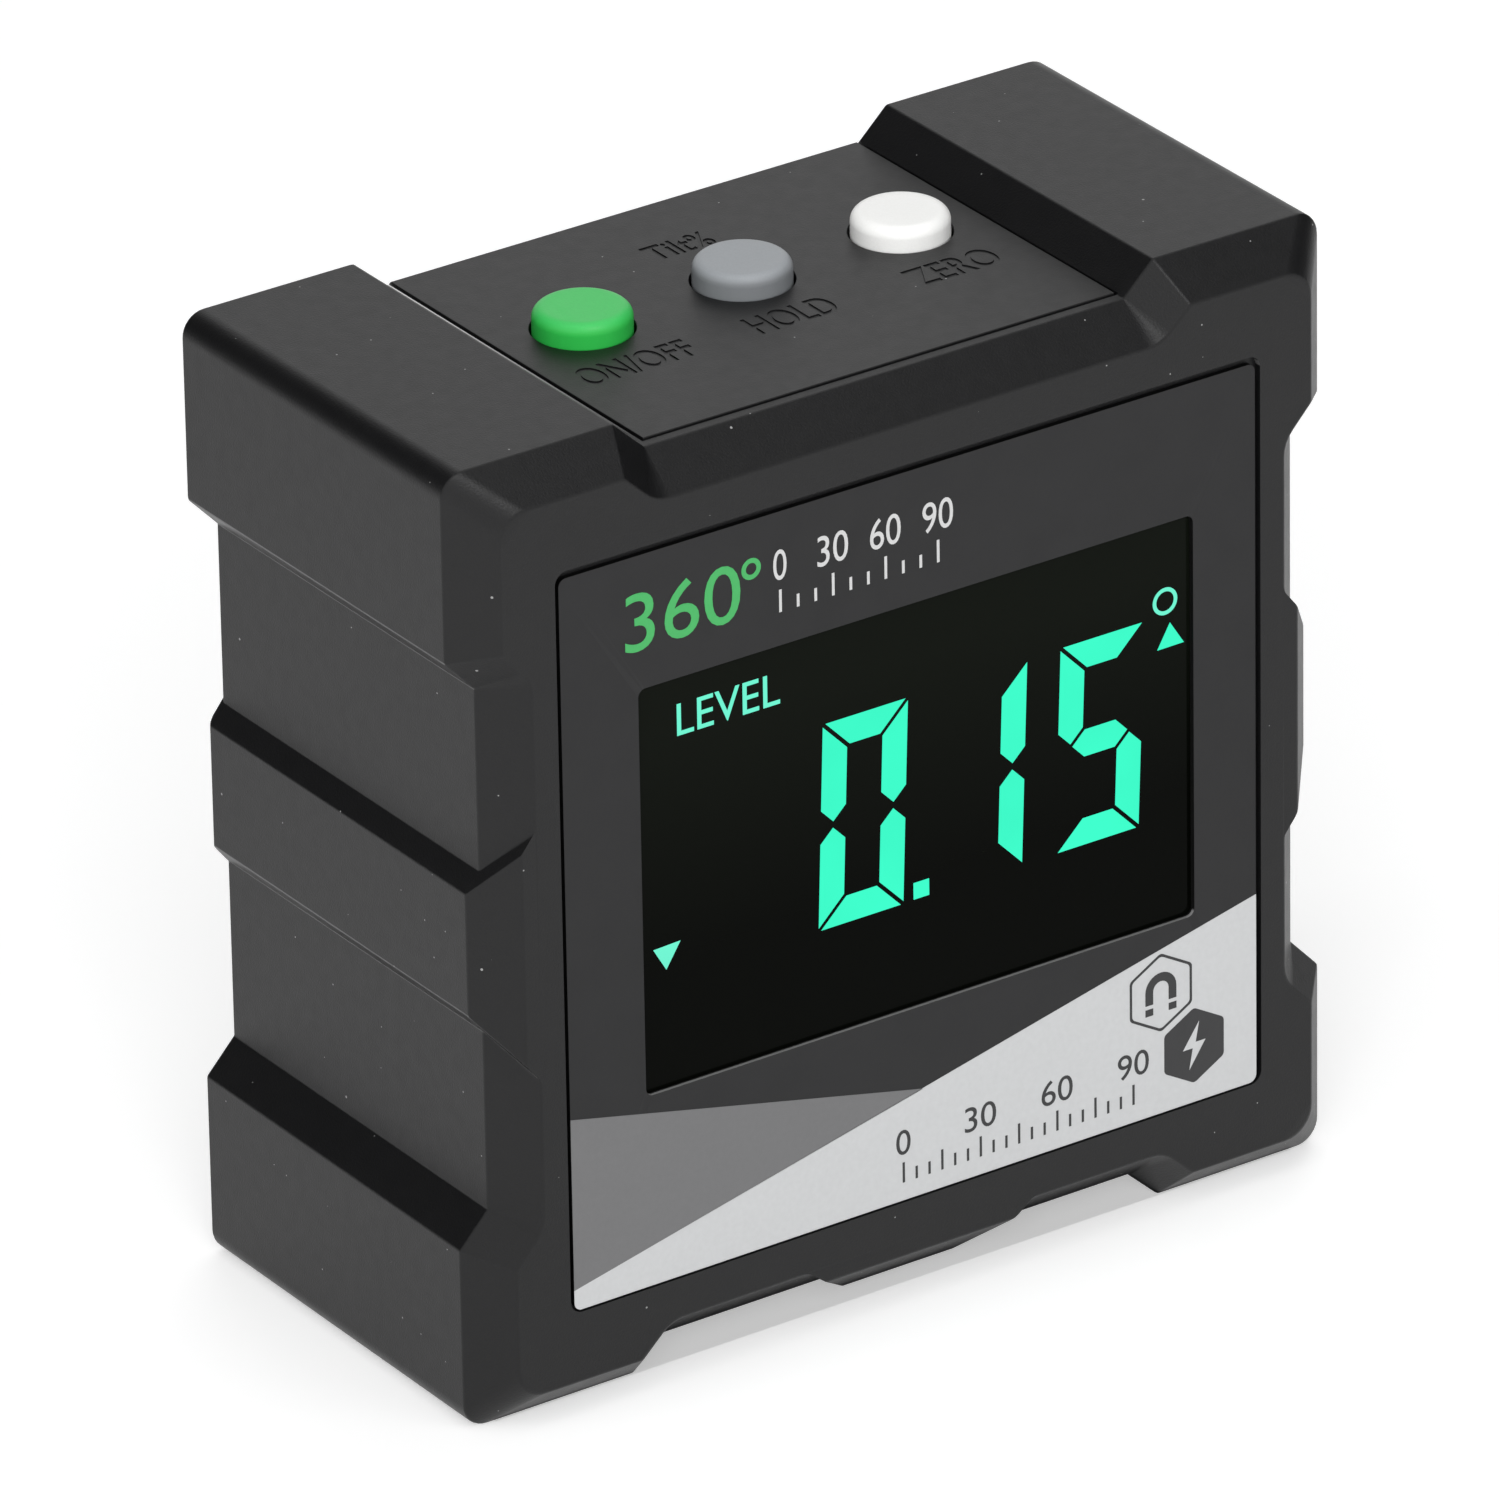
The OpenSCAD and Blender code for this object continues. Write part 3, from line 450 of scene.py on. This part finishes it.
def pane():
    """Smooth dark pane that grows lighter upwards."""
    roughness = 0.12
    material, tree, shader = finish("dark_pane", roughness, specular=0.03)
    height = split(tree, part_coords(tree))["Z"]
    light = spread(tree, height, 0, 1, PANE_FADE[0] * MM, PANE_FADE[1] * MM)
    feed(tree, shader, Base_Color=blend_colors(tree, light, srgb(4, 5, 3), srgb(15, 18, 13)))
    vary_roughness(tree, shader, roughness, amount=0.04, size=5.0)
    return material


def board_laminate(cell=1.6, trace_share=0.12):
    """Circuit board: solder resist over a web of traces round cells of about cell mm."""
    material, tree, shader = finish("board_laminate", roughness=0.4)
    inputs = {"Vector": part_coords(tree), "Scale": 1 / (cell * MM)}
    web = add(tree, "ShaderNodeTexVoronoi", inputs, distance="MANHATTAN", feature="DISTANCE_TO_EDGE")
    trace = under(tree, web.outputs["Distance"], trace_share)
    feed(tree, shader, Base_Color=blend_colors(tree, trace, srgb(16, 88, 48), srgb(34, 120, 66)))
    grain(tree, shader, size=0.3, depth=0.01)
    return material


def contact_rubber(layer=1.2):
    """Layered contact strip: dark and pale layers side by side."""
    material, tree, shader = finish("contact_rubber", roughness=0.6)
    inputs = {"Vector": part_coords(tree), "Scale": 1 / (layer * MM), "Distortion": 0.0}
    layers = add(tree, "ShaderNodeTexWave", inputs).outputs["Fac"]
    feed(tree, shader, Base_Color=blend_colors(tree, layers, srgb(30, 30, 32), srgb(150, 140, 128)))
    return material


BLACK = srgb(18, 18, 19)
DUSTY = (dust, srgb(150, 150, 150))
# Marks on the case: a painted highlight on the lip by the panel's seam, a painted highlight on the lower side
# edges, and real dust
CASE_MARKS = ((painted_lip_glint, srgb(225, 225, 225)), (painted_edge_highlight, srgb(88, 88, 88)), DUSTY)
# Painted shade on the sides of the green and grey buttons, darker than their tops
GREEN_SIDE_SHADE = (painted_shade_sides, srgb(48, 191, 78))
GREY_SIDE_SHADE = (painted_shade_sides, srgb(126, 129, 132))
# Marks on the plate: painted shade on its cut edges, less dark round the window, and a painted highlight on
# the window's sill
PLATE_MARKS = ((painted_shade_cut_edges, srgb(4, 4, 4)), (painted_shade_window_edges, srgb(16, 16, 16)), (lit_sill, srgb(130, 130, 130)))
FINISHES = {
    "case_plastic": moulded("case_plastic", BLACK, 0.42, specular=0.32, marks=CASE_MARKS),
    "panel_plastic": moulded("panel_plastic", BLACK, 0.42, specular=0.34, grain_size=0.1, grain_depth=0.01,
                             marks=(DUSTY,)),
    "black_rubber": moulded("black_rubber", srgb(26, 26, 26), 0.7, specular=0.3, grain_depth=0.015),
    "green_button": button_plastic("green_button", srgb(64, 200, 98), 0.03, (GREEN_SIDE_SHADE,)),
    "grey_button": button_plastic("grey_button", srgb(154, 158, 162), 0.03, (GREY_SIDE_SHADE,)),
    "white_button": button_plastic("white_button", srgb(252, 252, 250), 0.02),
    "switch_plastic": moulded("switch_plastic", srgb(50, 50, 52), 0.5),
    "board_laminate": board_laminate(),
    "screw_steel": metal("screw_steel", srgb(120, 120, 122), 0.36),
    "socket_steel": metal("socket_steel", srgb(200, 200, 202), 0.3),
    "printed_plate": printed("printed_plate", srgb(33, 33, 34), specular=0.25, marks=PLATE_MARKS),
    "dark_pane": pane(),
    "display_glass": moulded("display_glass", srgb(28, 60, 50), 0.1, grain_size=0.5, grain_depth=0.001),
    "clear_guide": moulded("clear_guide", srgb(225, 238, 232), 0.25, grain_size=0.4, grain_depth=0.003),
    "contact_rubber": contact_rubber(),
    "cell_foil": metal("cell_foil", srgb(205, 207, 210), 0.45, scratch=0.4),
    "foam_tape": moulded("foam_tape", srgb(70, 70, 70), 0.85, specular=0.2, grain_size=0.4, grain_depth=0.08),
    "magnet_plating": metal("magnet_plating", srgb(215, 214, 210), 0.2),
}
LIGHT_INK = printed("light_ink", srgb(199, 200, 201))
MID_INK = printed("mid_ink", srgb(112, 112, 113))
WHITE_INK = printed("white_ink", srgb(205, 205, 205))
GREEN_INK = printed("green_ink", srgb(70, 172, 96))
DARK_INK = printed("dark_ink", srgb(52, 52, 53))
MINT = lit("mint_segment", srgb(56, 255, 204))
PALE_MINT = lit("pale_segment", srgb(112, 249, 213))


def dress_nodes():
    """Each solid of the part gets the finish of its slot in the record."""
    for row in frame["record"]["subparts"]:
        solid = frame["nodes"][row["node"]]
        solid.data.materials.clear()
        solid.data.materials.append(FINISHES[row["material_slot"]])


# Edges


def smooth(solid, edge):
    """Joins the solid's facets, rounds its edges by edge mm and shades what is left smoothly."""
    weld = solid.modifiers.new("weld", "WELD")
    weld.merge_threshold = SAME_POINT
    if edge:
        bevel = solid.modifiers.new("edge", "BEVEL")
        bevel.width = edge * MM
        bevel.segments = ROUNDING_STEPS
        bevel.limit_method = "ANGLE"
        bevel.angle_limit = math.radians(ROUND_OVER)
        bevel.face_strength_mode = "FSTR_ALL"
    creases = solid.modifiers.new("split", "EDGE_SPLIT")
    creases.split_angle = math.radians(SPLIT_OVER)
    normals = solid.modifiers.new("normals", "WEIGHTED_NORMAL")
    normals.weight = FACE_WEIGHT
    normals.use_face_influence = bool(edge)


def smooth_nodes():
    for name, solid in frame["nodes"].items():
        smooth(solid, EDGE_ROUNDING.get(name, 0.0))


# Flat shapes


def new_piece(name, mesh_maker, material, body=BODY):
    """A piece of the object, made by mesh_maker(bmesh) in metres, that rides on body."""
    bm = bmesh.new()
    mesh_maker(bm)
    bmesh.ops.recalc_face_normals(bm, faces=bm.faces)
    mesh = bpy.data.meshes.new(name)
    bm.to_mesh(mesh)
    bm.free()
    mesh.materials.append(material)
    piece = bpy.data.objects.new(name, mesh)
    bpy.context.scene.collection.objects.link(piece)
    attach(piece, body)
    return piece


def add_prism(bm, outline, y_front, thickness, hole=None):
    """A flat solid in X and Z, in mm. A hole has as many points as the outline."""
    def layer(points, y):
        return [bm.verts.new((x * MM, y * MM, z * MM)) for x, z in points]

    def walls(front, back):
        count = len(front)
        for i in range(count):
            bm.faces.new((front[i], front[(i + 1) % count], back[(i + 1) % count], back[i]))

    front, back = layer(outline, y_front), layer(outline, y_front + thickness)
    walls(front, back)
    if hole is None:
        bm.faces.new(front)
        bm.faces.new(back)
        return
    front_hole, back_hole = layer(hole, y_front), layer(hole, y_front + thickness)
    walls(front_hole, back_hole)
    walls(front, front_hole)
    walls(back, back_hole)


def prisms(name, outlines, y_front, thickness, material):
    """One piece of flat solids. An outline is a list of points, or a pair of lists for one with a hole."""
    def make(bm):
        for outline in outlines:
            if isinstance(outline, tuple):
                add_prism(bm, outline[0], y_front, thickness, outline[1])
            else:
                add_prism(bm, outline, y_front, thickness)
    return new_piece(name, make, material)


def arc(centre, radius, start, end, steps):
    """Points on an arc, with angles in degrees from +X towards +Z."""
    angles = (math.radians(start + (end - start) * i / steps) for i in range(steps + 1))
    return [(centre[0] + radius * math.cos(a), centre[1] + radius * math.sin(a)) for a in angles]


def disc(centre, radius, steps=40):
    return arc(centre, radius, 0, 360, steps)[:-1]


def ring(centre, radius, stroke):
    return disc(centre, radius), disc(centre, radius - stroke)


def hexagon(centre, radius):
    """Outline of a hexagon that stands on a corner, with rounded corners."""
    points = []
    for i in range(6):
        turn = 90 + 60 * i
        middle = arc(centre, radius - SIGN_CORNER / math.cos(math.radians(30)), turn, turn, 1)[0]
        points += arc(middle, SIGN_CORNER, turn - 30, turn + 30, SIGN_CORNER_STEPS)
    return points


def bar(left, right, low, high):
    return [(left, low), (right, low), (right, high), (left, high)]


# Letters


def letters(text, weight=0.0):
    """The text as closed letters in X and Y, from -0.5 to 0.5 in Z."""
    curve = bpy.data.curves.new("letters", "FONT")
    curve.body = text
    curve.offset = weight
    curve.extrude = 0.5
    curve.resolution_u = LETTER_STEPS
    holder = bpy.data.objects.new("letters", curve)
    bpy.context.scene.collection.objects.link(holder)
    mesh = bpy.data.meshes.new_from_object(holder.evaluated_get(bpy.context.evaluated_depsgraph_get()))
    bpy.data.objects.remove(holder)
    bpy.data.curves.remove(curve)
    return mesh


def add_letters(bm, text, box, place, weight=0.0):
    """Letters that fill box = (left, right, low, high) in mm.

    place takes a spot across and up, in mm, and a share of the thickness to a point in mm.
    """
    mesh = letters(text, weight)
    points = [v.co for v in mesh.vertices]
    low = Vector((min(p.x for p in points), min(p.y for p in points)))
    high = Vector((max(p.x for p in points), max(p.y for p in points)))
    left, right, bottom, top = box
    across, up = (right - left) / (high.x - low.x), (top - bottom) / (high.y - low.y)
    for v in mesh.vertices:
        spot = place(left + (v.co.x - low.x) * across, bottom + (v.co.y - low.y) * up, v.co.z)
        v.co = Vector(spot) * MM
    bm.from_mesh(mesh)
    bpy.data.meshes.remove(mesh)
    bmesh.ops.remove_doubles(bm, verts=bm.verts, dist=SAME_LETTER_POINT)


def face_words(name, words, y_front, thickness, material):
    """One piece of words on the face. Each word is (text, left, right, low, high) in mm."""
    def place(across, up, out):
        return across, y_front + thickness * (0.5 - out), up

    def make(bm):
        for text, *box in words:
            add_letters(bm, text, box, place)
    return new_piece(name, make, material)


def engrave_panel():
    """Cuts the words into the top panel."""
    def place(across, up, out):
        return across, up, Z_PANEL + out * 2 * WORD_DEPTH

    def make(bm):
        for text, *box in PANEL_WORDS:
            add_letters(bm, text, box, place, WORD_WEIGHT)
    cutter = new_piece("panel_words", make, FINISHES["panel_plastic"])
    cutter.hide_render = True
    cut = frame["nodes"]["top_panel"].modifiers.new("words", "BOOLEAN")
    cut.object = cutter
    cut.operation = "DIFFERENCE"
    cut.solver = "EXACT"


# Printed face


def print_shapes(name, outlines, ink, coat=1):
    """Flat shapes in ink, on the plate or, from coat 2, on the ink below."""
    prisms(name, outlines, Y_LABEL - coat * INK, INK, ink)


def print_words(name, words, ink, coat=1):
    face_words(name, words, Y_LABEL - coat * INK, INK, ink)


def print_fields():
    left, right, low = LABEL_LOW.x, LABEL_HIGH.x, LABEL_LOW.z
    corner_z = low + FIELD_CORNER
    light = (
        arc((left + FIELD_CORNER, corner_z), FIELD_CORNER, 180, 270, FIELD_CORNER_STEPS)
        + arc((right - FIELD_CORNER, corner_z), FIELD_CORNER, 270, 360, FIELD_CORNER_STEPS)
        + [(right, LIGHT_FIELD_RIGHT_Z), (left, LIGHT_FIELD_LEFT_Z)]
    )
    middle = [(left, LIGHT_FIELD_LEFT_Z), MID_FIELD_TIP, (left, MID_FIELD_TOP_Z)]
    print_shapes("light_field", [light], LIGHT_INK)
    print_shapes("mid_field", [middle], MID_INK)


def print_scale(name, ink, coat, left, step, steps_per_number, tick_width, low, short, long,
                number_low, number_high, number_widths):
    """Ticks with numbers over them, as two pieces."""
    ticks = []
    for i in range(steps_per_number * (len(SCALE_NUMBERS) - 1) + 1):
        x = left + step * i
        high = short if i % LONG_TICK_EVERY else long
        ticks.append(bar(x - tick_width / 2, x + tick_width / 2, low, high))
    print_shapes(name + "_ticks", ticks, ink, coat)
    numbers = []
    for i, text in enumerate(SCALE_NUMBERS):
        x = left + step * steps_per_number * i
        half = number_widths[len(text) - 1] / 2
        numbers.append((text, x - half, x + half, number_low, number_high))
    print_words(name + "_numbers", numbers, ink, coat)


def print_marks():
    """Plain numbers and ticks in place of the printed words."""
    print_words("turn_mark", [TURN_WORD], GREEN_INK)
    print_shapes("turn_degree", [ring(*TURN_DEGREE)], GREEN_INK)
    print_scale("scale", WHITE_INK, 1, **TOP_SCALE)


def magnet_outlines():
    """A horseshoe magnet with two separate poles, in a hexagon."""
    x, z = MAGNET_SIGN
    outer, inner = MAGNET_OUTER_R, MAGNET_INNER_R
    top, leg = (x, z + MAGNET_ARCH_Z), z + MAGNET_LEG_Z
    arch = arc(top, outer, 0, 180, ARCH_STEPS) + [(x - outer, leg), (x - inner, leg)]
    arch += arc(top, inner, 180, 0, ARCH_STEPS) + [(x + inner, leg), (x + outer, leg)]
    poles = [bar(x + left, x + right, z + POLE_LOW_Z, z + POLE_HIGH_Z)
             for left, right in ((-outer, -inner), (inner, outer))]
    inside = MAGNET_FRAME_R - MAGNET_FRAME_LINE
    border = (hexagon(MAGNET_SIGN, MAGNET_FRAME_R), hexagon(MAGNET_SIGN, inside))
    return [border, arch] + poles


def print_signs():
    """Pictograms of a magnet and of a charge, and a plain scale, in dark ink on the light field."""
    print_shapes("magnet_sign", magnet_outlines(), DARK_INK, coat=2)
    print_shapes("charge_field", [hexagon(CHARGE_SIGN, CHARGE_FIELD_R)], DARK_INK, coat=2)
    bolt = [(CHARGE_SIGN[0] + across, CHARGE_SIGN[1] + up) for across, up in BOLT]
    print_shapes("charge_sign", [bolt], LIGHT_INK, coat=3)
    print_scale("plate", DARK_INK, 2, **PLATE_SCALE)


# Lit display


def digit(left, segments):
    """Outlines of the named segments of one digit, a to f clockwise from the top and g across the middle."""
    w, h, t = DIGIT_W, DIGIT_H, DIGIT_STROKE
    mitre = DIGIT_GAP / math.sqrt(2)
    apex = h / 2 + DIGIT_MIDDLE_GAP / 2
    end = t / 2 + DIGIT_GAP * math.sqrt(2) - DIGIT_MIDDLE_GAP / 2
    top = [(mitre, h), (w - mitre, h), (w - t - mitre, h - t), (t + mitre, h - t)]
    upper = [(0, h - mitre), (t, h - t - mitre), (t, apex + t / 2), (t / 2, apex), (0, apex + t / 2)]
    half = [(end, h / 2), (end + t / 2, h / 2 + t / 2), (w - end - t / 2, h / 2 + t / 2)]
    outlines = {
        "a": top,
        "b": [(w - x, z) for x, z in upper],
        "c": [(w - x, h - z) for x, z in upper],
        "d": [(x, h - z) for x, z in top],
        "e": [(x, h - z) for x, z in upper],
        "f": upper,
        "g": half + [(w - x, h - z) for x, z in half],
    }
    return [[(left + x + DIGIT_SLANT * z, DIGIT_Z + z) for x, z in outlines[s]] for s in segments]


def light_display():
    y = Y_PANE - SEGMENT_T
    outlines = [outline for left, segments in DIGITS for outline in digit(left, segments)]
    outlines += [bar(*POINT), UP_ARROW]
    prisms("digits", outlines, y, SEGMENT_T, MINT)
    prisms("signs", [DOWN_ARROW, ring(*DEGREE)], y, SEGMENT_T, PALE_MINT)
    face_words("level_word", [LEVEL_WORD], y, SEGMENT_T, PALE_MINT)


# Stage


def seen_directly(tree):
    """1 for rays of the camera, of gloss and of glass, and 0 for rays that only carry light."""
    path = add(tree, "ShaderNodeLightPath").outputs
    gloss = math_node(tree, "MAXIMUM", path["Is Glossy Ray"], path["Is Transmission Ray"])
    return math_node(tree, "MAXIMUM", path["Is Camera Ray"], gloss)


def make_world():
    world = bpy.data.worlds.new("studio")
    world.use_nodes = True
    tree = world.node_tree
    tree.nodes["Background"].inputs["Color"].default_value = grey(1.0)
    strength = spread(tree, seen_directly(tree), LIGHT_LEVEL, 1.0, 0, 1)
    tree.links.new(strength, tree.nodes["Background"].inputs["Strength"])
    bpy.context.scene.world = world


def floor_material():
    """White floor that keeps its shadows, clear from below."""
    material = bpy.data.materials.new("floor")
    material.use_nodes = True
    tree = material.node_tree
    tree.nodes.remove(tree.nodes["Principled BSDF"])
    matt = add(tree, "ShaderNodeBsdfDiffuse", {"Color": grey(FLOOR_ALBEDO)}).outputs[0]
    lift = math_node(tree, "MULTIPLY", seen_directly(tree), FLOOR_LIFT)
    glow = add(tree, "ShaderNodeEmission", {"Strength": lift}).outputs[0]
    white = add(tree, "ShaderNodeAddShader", {0: matt, 1: glow}).outputs[0]
    from_below = add(tree, "ShaderNodeNewGeometry").outputs["Backfacing"]
    clear = add(tree, "ShaderNodeBsdfTransparent").outputs[0]
    shown = add(tree, "ShaderNodeMixShader", {0: from_below, 1: white, 2: clear}).outputs[0]
    tree.links.new(shown, tree.nodes["Material Output"].inputs["Surface"])
    return material


def sheet(name, width, depth, material):
    """A level sheet of the stage about the origin, in m, facing up."""
    x, y = width / 2, depth / 2
    mesh = bpy.data.meshes.new(name)
    mesh.from_pydata([(-x, -y, 0), (x, -y, 0), (x, y, 0), (-x, y, 0)], [], [(0, 1, 2, 3)])
    mesh.materials.append(material)
    piece = bpy.data.objects.new(name, mesh)
    bpy.context.scene.collection.objects.link(piece)
    return piece


def aim(piece, direction, distance):
    """Sets a lamp or flag at a distance in m from the part's middle."""
    direction = Vector(direction).normalized()
    piece.location = Vector(VIEW_TARGET) * MM + direction * distance
    piece.rotation_mode = "QUATERNION"
    piece.rotation_quaternion = direction.to_track_quat("Z", "Y")


def make_lamp(name, power, size):
    data = bpy.data.lights.new(name, "AREA")
    data.energy = power
    data.size = size
    lamp = bpy.data.objects.new(name, data)
    bpy.context.scene.collection.objects.link(lamp)
    return lamp


def make_lamps():
    fill = make_lamp("fill", FILL_POWER, FILL_SIZE)
    aim(fill, view_axes()[2], FILL_DISTANCE)
    fill.visible_glossy = False
    gleam = make_lamp("gleam", GLEAM_POWER, GLEAM_SIZE)
    aim(gleam, GLEAM_DIRECTION, GLEAM_DISTANCE)
    gleam.visible_diffuse = False


def make_flags():
    dark, _, shader = finish("flag", roughness=1.0, specular=0.0)
    shader.inputs["Base Color"].default_value = grey(0.0)
    for i, (direction, distance, size) in enumerate(FLAGS):
        flag = sheet("flag_%d" % i, size, size, dark)
        aim(flag, direction, distance)
        flag.visible_camera = False
    # Painted shade: a black sheet under the part in place of its shadow, seen only in reflections and bounced
    # light
    underlay = sheet("flag_under", UNDER_SHEET_WIDTH * MM, UNDER_SHEET_DEPTH * MM, dark)
    underlay.location.z = UNDER_SHEET_Z * MM
    underlay.visible_camera = False
    underlay.visible_shadow = False


def make_stage():
    make_world()
    make_lamps()
    make_flags()
    floor = sheet("floor", FLOOR_SIZE, FLOOR_SIZE, floor_material())
    floor.location.z = FLOOR_Z * MM


def view_axes():
    """The camera's axes: right, up and back to the camera."""
    a, e, r = (math.radians(x) for x in (VIEW_AZIMUTH, VIEW_ELEVATION, VIEW_ROLL))
    back = Vector((math.sin(a) * math.cos(e), -math.cos(a) * math.cos(e), math.sin(e)))
    right = Vector((math.cos(a), math.sin(a), 0.0))
    up = back.cross(right)
    return math.cos(r) * right + math.sin(r) * up, math.cos(r) * up - math.sin(r) * right, back


def make_camera():
    axes = view_axes()
    data = bpy.data.cameras.new("camera")
    data.lens = LENS
    data.sensor_width = SENSOR_WIDTH
    camera = bpy.data.objects.new("camera", data)
    bpy.context.scene.collection.objects.link(camera)
    place = Matrix.Translation((Vector(VIEW_TARGET) + VIEW_DISTANCE * axes[2]) * MM)
    camera.matrix_world = place @ Matrix(axes).transposed().to_4x4()
    bpy.context.scene.camera = camera


dress_nodes()
smooth_nodes()
engrave_panel()
print_fields()
print_marks()
print_signs()
light_display()
make_stage()
make_camera()
bpy.context.scene.view_settings.view_transform = "Standard"
